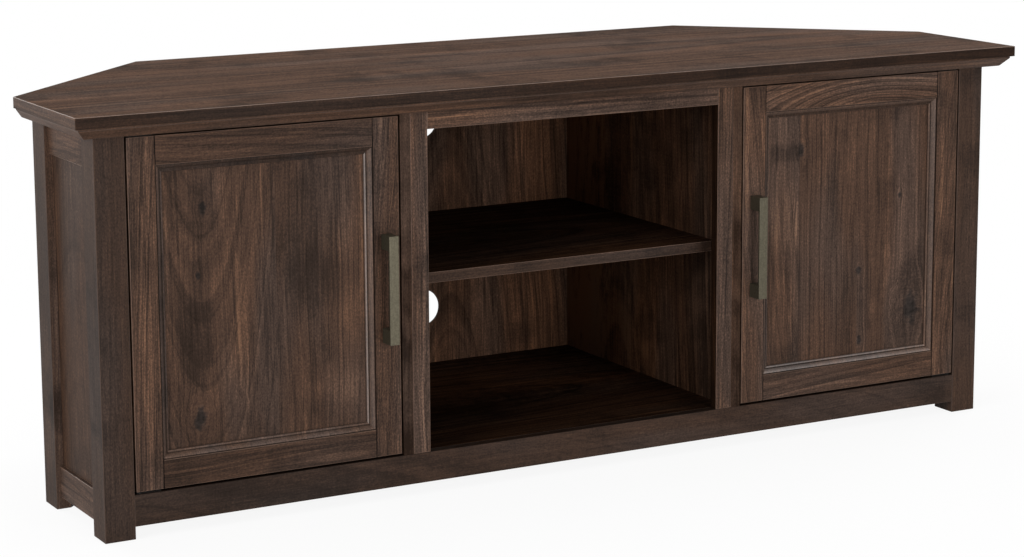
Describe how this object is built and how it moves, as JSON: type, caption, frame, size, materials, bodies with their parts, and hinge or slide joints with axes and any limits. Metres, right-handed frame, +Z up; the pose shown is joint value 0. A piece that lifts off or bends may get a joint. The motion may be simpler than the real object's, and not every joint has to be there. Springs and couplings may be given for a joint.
{
  "type": "corner tv cabinet",
  "caption": "low corner cabinet for a television: cut-off rear corners, hinged framed doors either side of an open bay with a shelf, a stepped cornice under the top and short legs",
  "frame": {"origin": "middle of the bounding box's bottom face: on the floor, under the middle of the cabinet", "axes": "+X to the right as one faces the doors, +Y to the back, where the corner of the room is, +Z up; the doors face -Y"},
  "size_m": [1.473, 0.512, 0.559],
  "materials": {
    "walnut": "walnut wood-grain laminate with brown and grey streaks, satin",
    "dark_walnut": "the same walnut laminate in its darker, more even bands, satin",
    "aged_brass": "brushed antique brass gone grey-green, like old pewter",
    "zinc_steel": "zinc-plated steel",
    "black_steel": "steel blackened a dark brown, satin",
    "brown_plastic": "moulded dark brown plastic"
  },
  "bodies": {
    "carcase": {"top": "walnut", "front_cornice": "walnut", "left_cornice": "walnut", "right_cornice": "walnut", "floor_panel": "dark_walnut", "front_bottom_rail": "dark_walnut", "top_stretcher": "walnut", "middle_top_rail": "walnut", "middle_shelf": "dark_walnut", "front_left_shelf_pin": "zinc_steel", "back_left_shelf_pin": "zinc_steel", "front_right_shelf_pin": "zinc_steel", "back_right_shelf_pin": "zinc_steel", "back_panel": "walnut", "left_front_leg": "dark_walnut", "left_rear_leg": "dark_walnut", "left_back_foot": "dark_walnut", "left_side_top_rail": "walnut", "left_side_panel": "walnut", "left_side_bottom_rail": "walnut", "left_divider": "walnut", "left_batten": "walnut", "left_shelf": "dark_walnut", "left_diagonal_back": "walnut", "left_lower_hinge_plate": "black_steel", "left_upper_hinge_plate": "black_steel", "left_magnetic_catch": "brown_plastic", "right_front_leg": "dark_walnut", "right_rear_leg": "dark_walnut", "right_back_foot": "dark_walnut", "right_side_top_rail": "walnut", "right_side_panel": "walnut", "right_side_bottom_rail": "walnut", "right_divider": "walnut", "right_batten": "walnut", "right_shelf": "dark_walnut", "right_diagonal_back": "walnut", "right_lower_hinge_plate": "black_steel", "right_upper_hinge_plate": "black_steel", "right_magnetic_catch": "brown_plastic"},
    "left_door": {"left_door_hinge_stile": "walnut", "left_door_lock_stile": "walnut", "left_door_top_rail": "walnut", "left_door_bottom_rail": "walnut", "left_door_panel": "walnut", "left_door_bead": "walnut", "left_handle": "aged_brass", "left_lower_hinge_socket": "black_steel", "left_upper_hinge_socket": "black_steel", "left_strike_plate": "zinc_steel"},
    "right_door": {"right_door_hinge_stile": "walnut", "right_door_lock_stile": "walnut", "right_door_top_rail": "walnut", "right_door_bottom_rail": "walnut", "right_door_panel": "walnut", "right_door_bead": "walnut", "right_handle": "aged_brass", "right_lower_hinge_socket": "black_steel", "right_upper_hinge_socket": "black_steel", "right_strike_plate": "zinc_steel"}
  },
  "joints": [
    {"name": "left_door_hinge", "type": "hinge", "parent": "carcase", "child": "left_door", "pos_m": [-0.65275, -0.217, 0.29325], "axis": [0, 0, -1], "range_deg": [0, 105]},
    {"name": "right_door_hinge", "type": "hinge", "parent": "carcase", "child": "right_door", "pos_m": [0.65275, -0.217, 0.29325], "axis": [0, 0, 1], "range_deg": [0, 105]}
  ]
}
